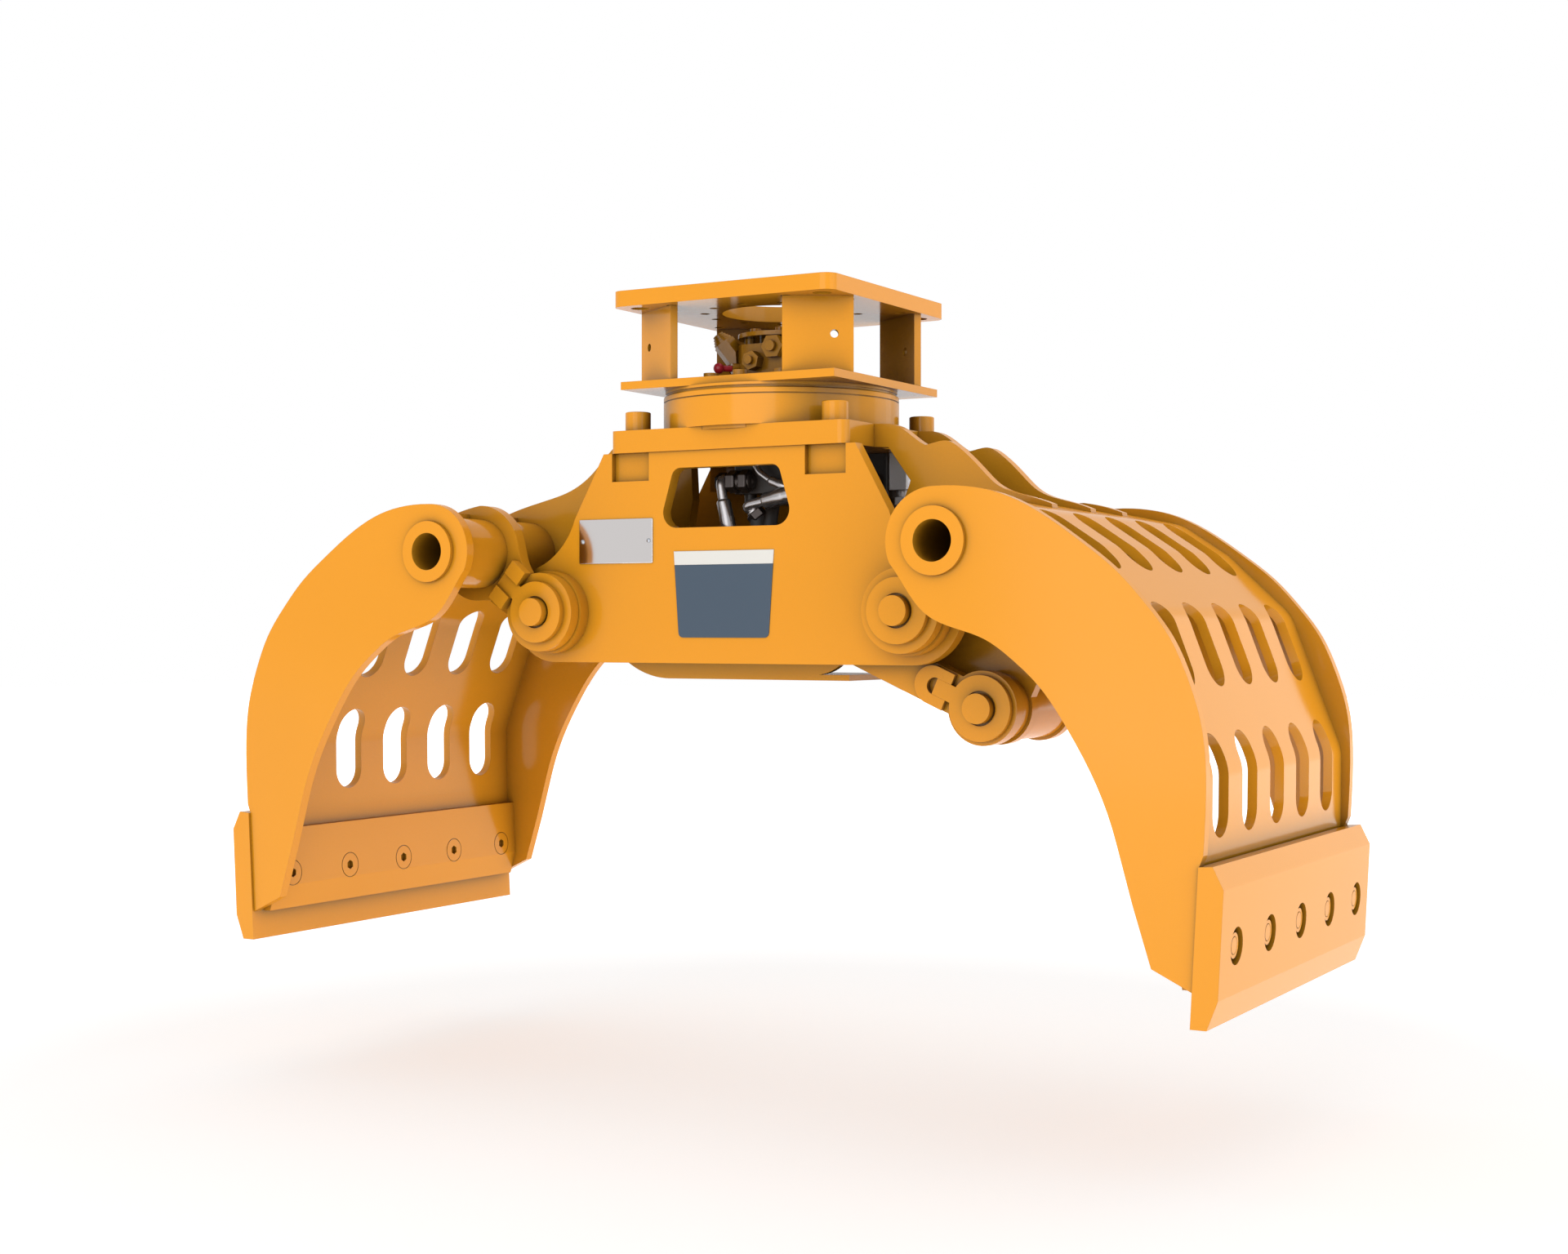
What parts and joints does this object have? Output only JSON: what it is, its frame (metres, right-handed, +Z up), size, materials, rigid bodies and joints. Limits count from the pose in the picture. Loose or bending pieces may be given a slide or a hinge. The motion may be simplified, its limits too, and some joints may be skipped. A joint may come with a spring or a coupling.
{
  "type": "demolition and sorting grapple",
  "caption": "Two-shell rotating sorting grapple with slotted shells, bolt-on blades, hydraulic closing cylinder, cross link and a bolt-on top adapter.",
  "frame": {"origin": "on the rotator's vertical axis, at the level of the blade tips, which is the floor the open grapple stands on", "axes": "+X towards the right hand shell, +Y away from the front plate that carries the labels, +Z up towards the top adapter plate"},
  "size_m": [1.2228, 0.504, 0.75],
  "materials": {
    "orange_paint": "gloss",
    "motor_grey": "satin",
    "valve_black": "satin",
    "red_cap": "gloss",
    "chrome_rod": "polished",
    "gland_steel": "brushed"
  },
  "bodies": {
    "frame": {"frame_block": "orange_paint", "frame_front_plate": "orange_paint", "frame_rear_plate": "orange_paint", "frame_bosses": "orange_paint", "frame_belly": "orange_paint", "nut_blocks": "orange_paint", "block_bolts": "orange_paint", "rotator_housing": "orange_paint", "rotator_motor": "motor_grey", "control_valve": "valve_black", "hose_block": "valve_black", "hose_bracket": "valve_black"},
    "adapter": {"slew_ring": "orange_paint", "adapter_lower_plate": "orange_paint", "ring_screws": "orange_paint", "adapter_legs": "orange_paint", "adapter_top_plate": "orange_paint", "swivel_body": "orange_paint", "swivel_fitting": "orange_paint", "swivel_plugs": "orange_paint", "sealing_cap": "red_cap"},
    "right_shell": {"right_back_sheet": "orange_paint", "right_cheeks": "orange_paint", "right_tube": "orange_paint", "right_arm_plates": "orange_paint", "right_lever_plates": "orange_paint", "right_blade": "orange_paint", "right_inner_strip": "orange_paint", "right_blade_screws": "orange_paint", "right_blade_nuts": "orange_paint", "right_main_pin": "orange_paint", "right_keepers": "orange_paint", "right_lever_pin": "orange_paint", "right_lower_boss": "orange_paint"},
    "left_shell": {"left_back_sheet": "orange_paint", "left_cheeks": "orange_paint", "left_tube": "orange_paint", "left_arm_plates": "orange_paint", "left_lever_plates": "orange_paint", "left_blade": "orange_paint", "left_inner_strip": "orange_paint", "left_blade_screws": "orange_paint", "left_blade_nuts": "orange_paint", "left_main_pin": "orange_paint", "left_keepers": "orange_paint", "left_lever_pin": "orange_paint", "left_upper_boss": "orange_paint"},
    "barrel": {"cylinder_barrel": "orange_paint", "cylinder_gland": "gland_steel"},
    "rod": {"cylinder_rod": "chrome_rod", "cylinder_piston": "gland_steel"},
    "link": {"sync_link": "orange_paint", "link_pin": "orange_paint", "link_fork": "orange_paint"}
  },
  "joints": [
    {"name": "rotation", "type": "hinge", "parent": "frame", "child": "adapter", "pos_m": [0, 0, 0.634], "axis": [0, 0, 1], "continuous": true},
    {"name": "right_close", "type": "hinge", "parent": "frame", "child": "right_shell", "pos_m": [0.231, 0, 0.388], "axis": [0, 1, 0], "range_deg": [0, 67]},
    {"name": "left_close", "type": "hinge", "parent": "frame", "child": "left_shell", "pos_m": [-0.231, 0, 0.388], "axis": [0, -1, 0], "range_deg": [0, 67]},
    {"name": "barrel_pivot", "type": "hinge", "parent": "left_shell", "child": "barrel", "pos_m": [-0.1947, 0, 0.442], "axis": [0, 1, 0], "range_deg": [0, 67]},
    {"name": "rod_slide", "type": "slide", "parent": "barrel", "child": "rod", "axis": [1, 0, 0], "range_m": [0, 0.14415]},
    {"name": "link_pivot", "type": "hinge", "parent": "right_shell", "child": "link", "pos_m": [0.3, 0, 0.286], "axis": [0, -1, 0], "range_deg": [0, 67]}
  ],
  "couplings": [
    {"joint": "left_close", "follows": "right_close", "ratio": 1},
    {"joint": "barrel_pivot", "follows": "right_close", "ratio": 1},
    {"joint": "rod_slide", "follows": "right_close", "m_per_rad": 0.12284},
    {"joint": "link_pivot", "follows": "right_close", "ratio": 1}
  ]
}
